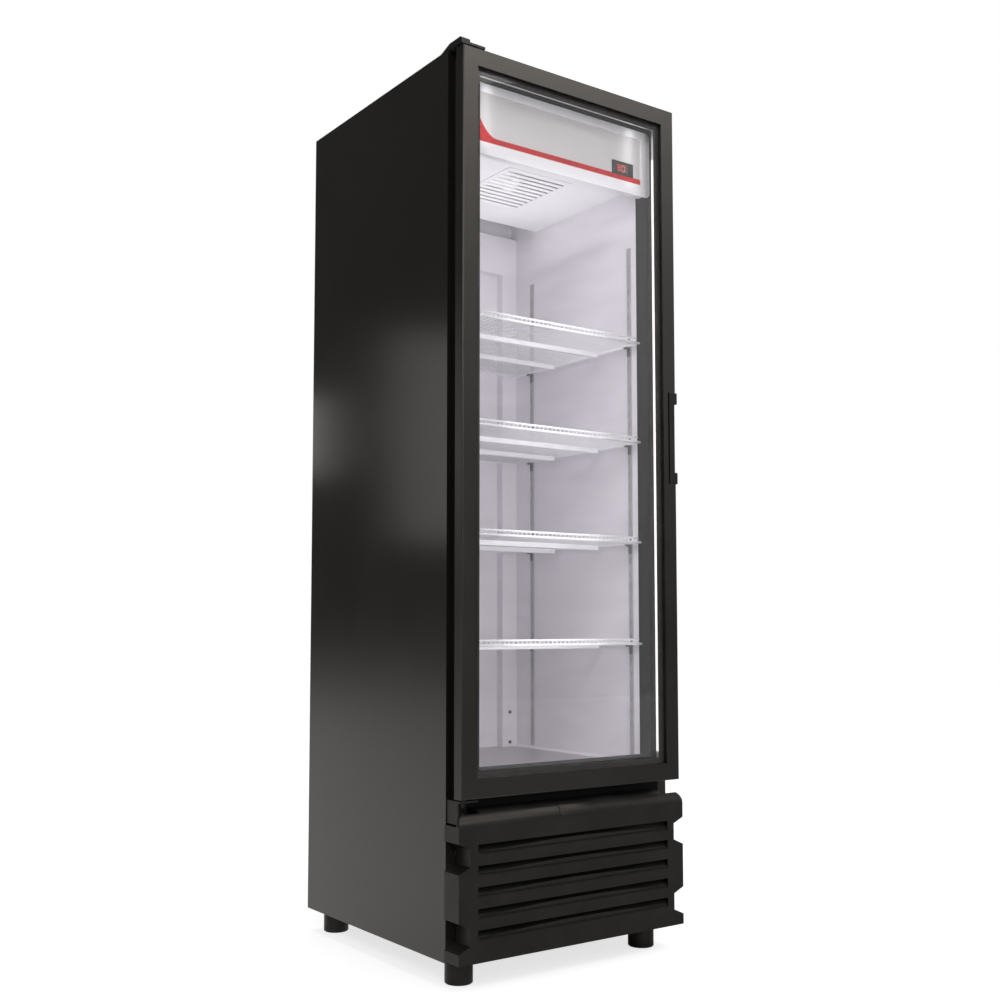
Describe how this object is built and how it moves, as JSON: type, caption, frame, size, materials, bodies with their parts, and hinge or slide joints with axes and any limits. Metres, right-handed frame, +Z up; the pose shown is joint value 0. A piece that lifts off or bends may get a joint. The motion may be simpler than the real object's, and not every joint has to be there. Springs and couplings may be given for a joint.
{
  "type": "glass_door_merchandiser",
  "caption": "Tall refrigerated glass door merchandiser: black cabinet, left-hinged glass door, white lit interior with wire shelves, sign canopy and louvred kick grille",
  "frame": {"origin": "middle of the footprint on the floor", "axes": "+Z up, the door faces -Y, +X to the right seen from the front"},
  "size_m": [0.626, 0.6754, 2.002],
  "materials": {
    "black_paint": "satin",
    "black_frame": "satin",
    "black_plastic": "matte",
    "dark_display": "gloss",
    "black_rubber": "matte",
    "white_liner": "satin",
    "white_plastic": "satin",
    "white_wire": "satin",
    "silver_panel": "satin",
    "light_strip": "satin",
    "aluminium": "satin",
    "steel": "satin",
    "copper": "satin",
    "foam": "matte",
    "glass": "gloss"
  },
  "bodies": {
    "cabinet": {"left_side_panel": "black_paint", "right_side_panel": "black_paint", "top_panel": "black_paint", "back_panel": "black_paint", "front_sill": "black_paint", "base_pan": "black_paint", "base_rails": "black_paint", "compressor": "black_paint", "condenser_fan_shroud": "black_paint", "condenser_fan_motor": "black_paint", "evaporator_fan_motor": "black_paint", "lower_hinge_bracket": "black_paint", "rear_cover": "black_paint", "breaker_strips": "black_plastic", "hinge_cover": "black_plastic", "front_grille": "black_plastic", "thermostat_case": "black_plastic", "cord_gland": "black_plastic", "thermostat_window": "dark_display", "compressor_mounts": "black_rubber", "liner_walls": "white_liner", "rear_posts": "white_liner", "rear_header": "white_liner", "canopy_tray": "white_plastic", "intake_louvre": "white_plastic", "sign_frame": "white_plastic", "drain_pan": "white_plastic", "sign_panel": "silver_panel", "liner_floor": "aluminium", "evaporator_coil": "aluminium", "condenser_coil": "aluminium", "shelf_pilasters": "steel", "shelf_clips": "steel", "upper_hinge_bracket": "steel", "hinge_pins": "steel", "fasteners": "steel", "refrigerant_lines": "copper", "foam_walls": "foam"},
    "door": {"door_hinge_stile": "black_frame", "door_handle_stile": "black_frame", "door_rails": "black_frame", "glass_panes": "glass", "glass_spacer": "aluminium", "edge_seal": "black_rubber", "led_strips": "light_strip", "door_gasket": "black_rubber", "door_handle": "black_plastic", "hinge_bushes": "white_plastic"},
    "evaporator_fan": {"evaporator_fan": "black_plastic"},
    "condenser_fan": {"condenser_fan": "black_plastic"},
    "foot_front_left": {"foot_front_left": "black_plastic"},
    "foot_front_right": {"foot_front_right": "black_plastic"},
    "foot_rear_left": {"foot_rear_left": "black_plastic"},
    "foot_rear_right": {"foot_rear_right": "black_plastic"},
    "shelf_1": {"shelf_1": "white_wire"},
    "shelf_2": {"shelf_2": "white_wire"},
    "shelf_3": {"shelf_3": "white_wire"},
    "shelf_4": {"shelf_4": "white_wire"},
    "key_up": {"key_up": "black_plastic"},
    "key_down": {"key_down": "black_plastic"}
  },
  "joints": [
    {"name": "door_swing", "type": "hinge", "parent": "cabinet", "child": "door", "pos_m": [-0.2935, -0.32075, 0.3885], "axis": [0, 0, -1], "range_deg": [0, 110], "stiffness_Nm_per_rad": 2, "springref_deg": -8.59},
    {"name": "evaporator_fan_spin", "type": "hinge", "parent": "cabinet", "child": "evaporator_fan", "pos_m": [0.02, -0.06525, 1.843], "axis": [0, 0, 1], "continuous": true},
    {"name": "condenser_fan_spin", "type": "hinge", "parent": "cabinet", "child": "condenser_fan", "pos_m": [-0.105, -0.10825, 0.181], "axis": [0, 1, 0], "continuous": true},
    {"name": "foot_front_left_turn", "type": "hinge", "parent": "cabinet", "child": "foot_front_left", "pos_m": [-0.256, -0.25125, 0.05], "axis": [0, 0, 1], "continuous": true},
    {"name": "foot_front_right_turn", "type": "hinge", "parent": "cabinet", "child": "foot_front_right", "pos_m": [0.256, -0.25125, 0.05], "axis": [0, 0, 1], "continuous": true},
    {"name": "foot_rear_left_turn", "type": "hinge", "parent": "cabinet", "child": "foot_rear_left", "pos_m": [-0.256, 0.28975, 0.05], "axis": [0, 0, 1], "continuous": true},
    {"name": "foot_rear_right_turn", "type": "hinge", "parent": "cabinet", "child": "foot_rear_right", "pos_m": [0.256, 0.28975, 0.05], "axis": [0, 0, 1], "continuous": true},
    {"name": "shelf_1_lift", "type": "slide", "parent": "cabinet", "child": "shelf_1", "axis": [0, 0, 1], "range_m": [0, 0.06]},
    {"name": "shelf_2_lift", "type": "slide", "parent": "cabinet", "child": "shelf_2", "axis": [0, 0, 1], "range_m": [0, 0.06]},
    {"name": "shelf_3_lift", "type": "slide", "parent": "cabinet", "child": "shelf_3", "axis": [0, 0, 1], "range_m": [0, 0.06]},
    {"name": "shelf_4_lift", "type": "slide", "parent": "cabinet", "child": "shelf_4", "axis": [0, 0, 1], "range_m": [0, 0.06]},
    {"name": "key_up_press", "type": "slide", "parent": "cabinet", "child": "key_up", "axis": [0, 1, 0], "range_m": [0, 0.0008], "stiffness_N_per_m": 400, "springref_m": -0.0005},
    {"name": "key_down_press", "type": "slide", "parent": "cabinet", "child": "key_down", "axis": [0, 1, 0], "range_m": [0, 0.0008], "stiffness_N_per_m": 400, "springref_m": -0.0005}
  ]
}
